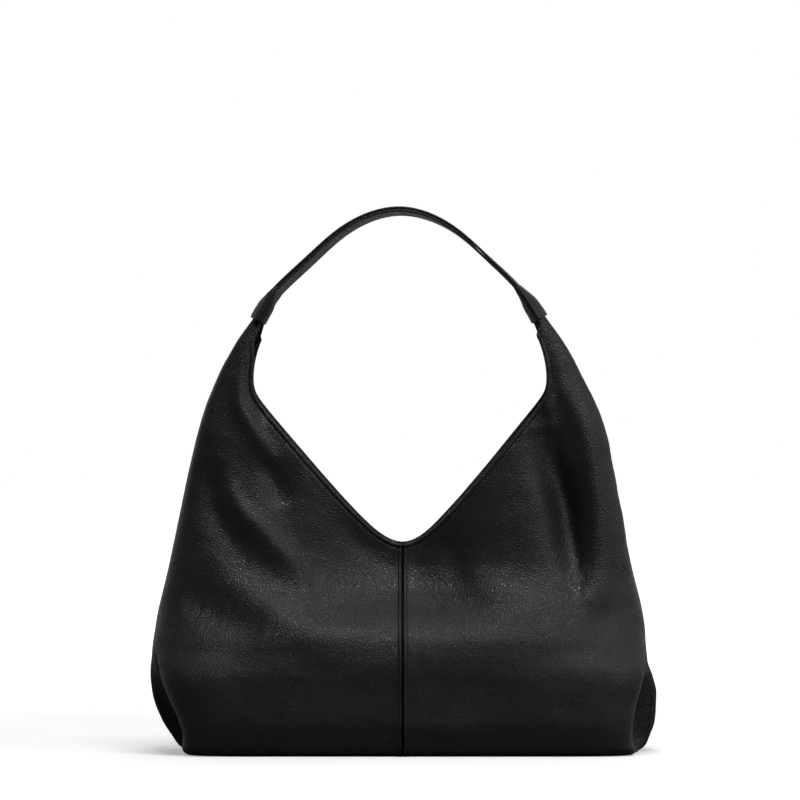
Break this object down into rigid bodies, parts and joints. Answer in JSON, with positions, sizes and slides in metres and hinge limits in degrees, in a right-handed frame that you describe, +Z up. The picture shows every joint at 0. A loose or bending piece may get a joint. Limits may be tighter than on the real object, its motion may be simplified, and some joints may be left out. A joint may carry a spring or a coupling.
{
  "type": "hobo bag",
  "caption": "Slouchy hobo shoulder bag in pebbled leather: V-shaped mouth with magnetic snap, centre seam, tucked lower corners, one short stitched strap, lined, with zip and slip pockets.",
  "frame": {"origin": "on the floor in line with the front centre seam, halfway between the front and back of the body", "axes": "+Z up, -Y out of the front of the bag, +X to the right seen from the front"},
  "size_m": [0.4013, 0.138, 0.4362],
  "materials": {
    "black_leather": "soft pebbled grain, low satin sheen",
    "strap_leather": "smoother pebbled grain, stitched along both edges",
    "lining": "fine plain-weave lining, matt",
    "tape": "woven tape, matt",
    "filler": "bonded fibre filler, hidden",
    "board": "flexible base board, hidden",
    "hardware": "nickel plate",
    "magnet": "plated magnet",
    "zip_metal": "nickelled brass teeth"
  },
  "bodies": {
    "bag": {"front_left_panel": "black_leather", "front_right_panel": "black_leather", "back_left_panel": "black_leather", "back_right_panel": "black_leather", "base_panel": "black_leather", "left_horn_tongue": "black_leather", "right_horn_tongue": "black_leather", "front_neck_facing": "black_leather", "back_neck_facing": "black_leather", "zip_welt": "black_leather", "slip_pocket_binding": "black_leather", "base_board": "board", "front_seam_tape": "tape", "back_seam_tape": "tape", "front_lining": "lining", "back_lining": "lining", "base_lining": "lining", "zip_pocket_rear_ply": "lining", "zip_pocket_front_ply": "lining", "slip_pocket": "lining", "zip_upper_tape": "tape", "zip_lower_tape": "tape", "snap_socket": "hardware", "snap_stud": "hardware", "snap_socket_washer": "hardware", "snap_stud_washer": "hardware", "snap_magnet": "magnet", "zip_upper_teeth": "zip_metal", "zip_lower_teeth": "zip_metal", "zip_end_stops": "zip_metal"},
    "strap": {"strap_outer_ply": "strap_leather", "strap_inner_ply": "strap_leather", "strap_core": "filler"},
    "slider": {"zip_slider": "hardware"},
    "pull": {"zip_pull": "hardware", "zip_pull_tab": "black_leather"}
  },
  "joints": [
    {"name": "strap_fold", "type": "hinge", "parent": "bag", "child": "strap", "pos_m": [0, 0, 0.34], "axis": [1, 0, 0], "range_deg": [-100, 100]},
    {"name": "zip_slide", "type": "slide", "parent": "bag", "child": "slider", "axis": [-1, 0, 0], "range_m": [0, 0.136]},
    {"name": "zip_pull_swing", "type": "hinge", "parent": "slider", "child": "pull", "pos_m": [0.068, 0.01565, 0.10952], "axis": [-1, 0, 0], "range_deg": [0, 140]}
  ]
}
